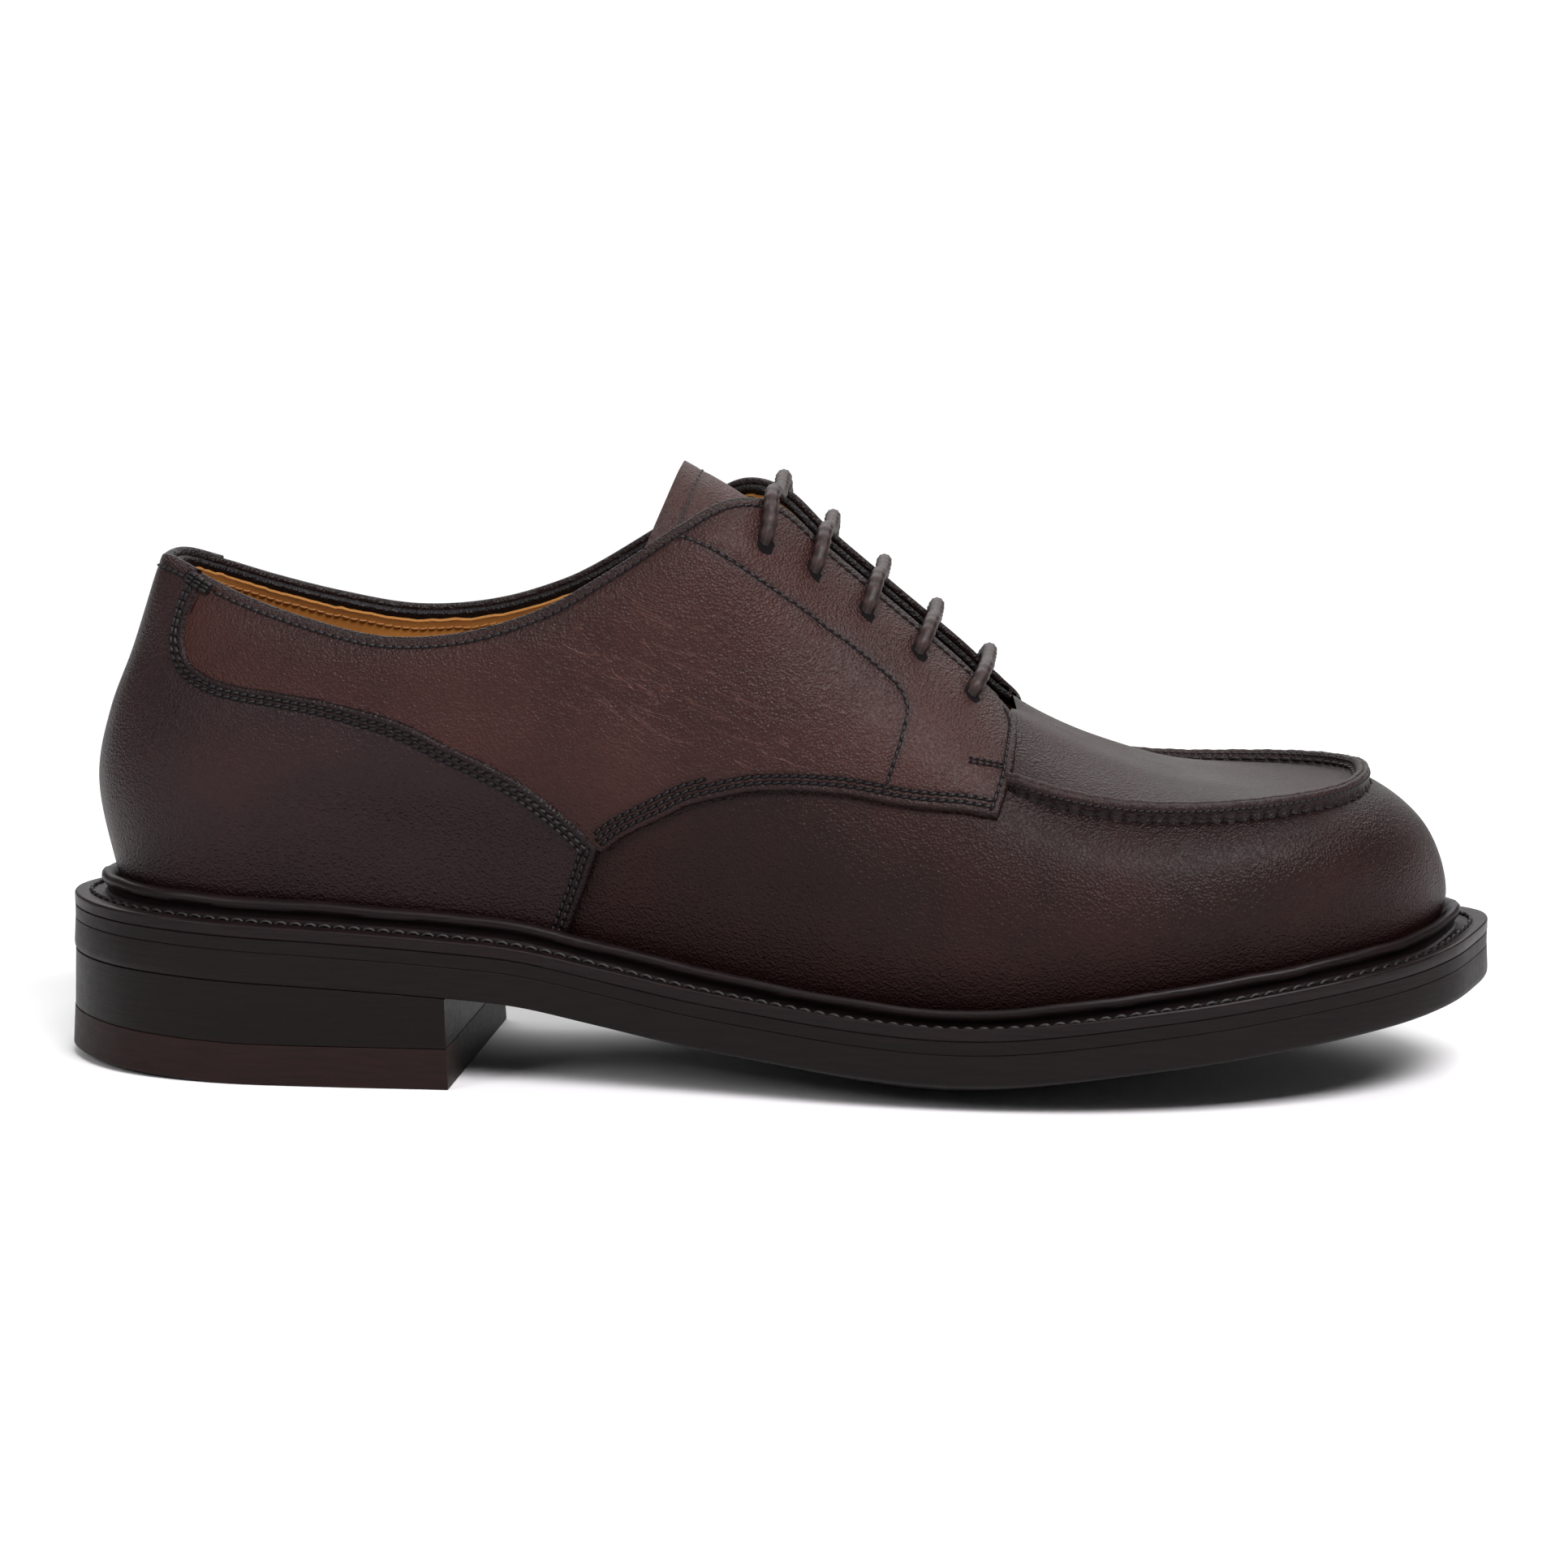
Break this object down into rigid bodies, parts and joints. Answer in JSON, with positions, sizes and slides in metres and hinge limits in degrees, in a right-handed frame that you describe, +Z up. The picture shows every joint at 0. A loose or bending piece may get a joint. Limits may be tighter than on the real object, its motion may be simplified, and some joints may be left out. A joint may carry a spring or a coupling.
{
  "type": "apron toe derby shoe",
  "caption": "Right apron toe derby: hollow leather upper open at collar and throat, quarters over the vamp, heel counter, raised apron seam, storm welt, rubber sole and stacked heel.",
  "frame": {"origin": "on the floor, in the middle of the heel's flat underside (mount heel_rest)", "axes": "+X from the heel towards the toe, +Y towards the inner (medial) side of the foot, +Z up"},
  "size_m": [0.3011, 0.1047, 0.1273],
  "materials": {
    "sole_rubber": "matt black-brown rubber",
    "midsole_leather": "stained and waxed edge",
    "welt_leather": "stained and waxed edge",
    "heel_leather": "stained stacked leather",
    "top_lift_rubber": "matt dark brown rubber",
    "tan_lining": "plain tan lining leather",
    "vamp_leather": "polished dark brown calf",
    "quarter_leather": "polished dark brown calf",
    "counter_leather": "polished dark brown calf",
    "seam_leather": "raised seam, darker edge",
    "tongue_leather": "soft dark brown calf",
    "waxed_lace": "round waxed dark brown cord"
  },
  "bodies": {
    "root": {"outsole": "sole_rubber", "midsole": "midsole_leather", "welt": "welt_leather", "heel_block": "heel_leather", "top_lift": "top_lift_rubber", "insole": "tan_lining", "upper": "vamp_leather", "quarter_lateral": "quarter_leather", "quarter_medial": "quarter_leather", "counter": "counter_leather", "apron_seam": "seam_leather", "tongue": "tongue_leather", "lace_bar_1": "waxed_lace", "lace_bar_2": "waxed_lace", "lace_bar_3": "waxed_lace", "lace_bar_4": "waxed_lace", "lace_bar_5": "waxed_lace"}
  },
  "joints": []
}
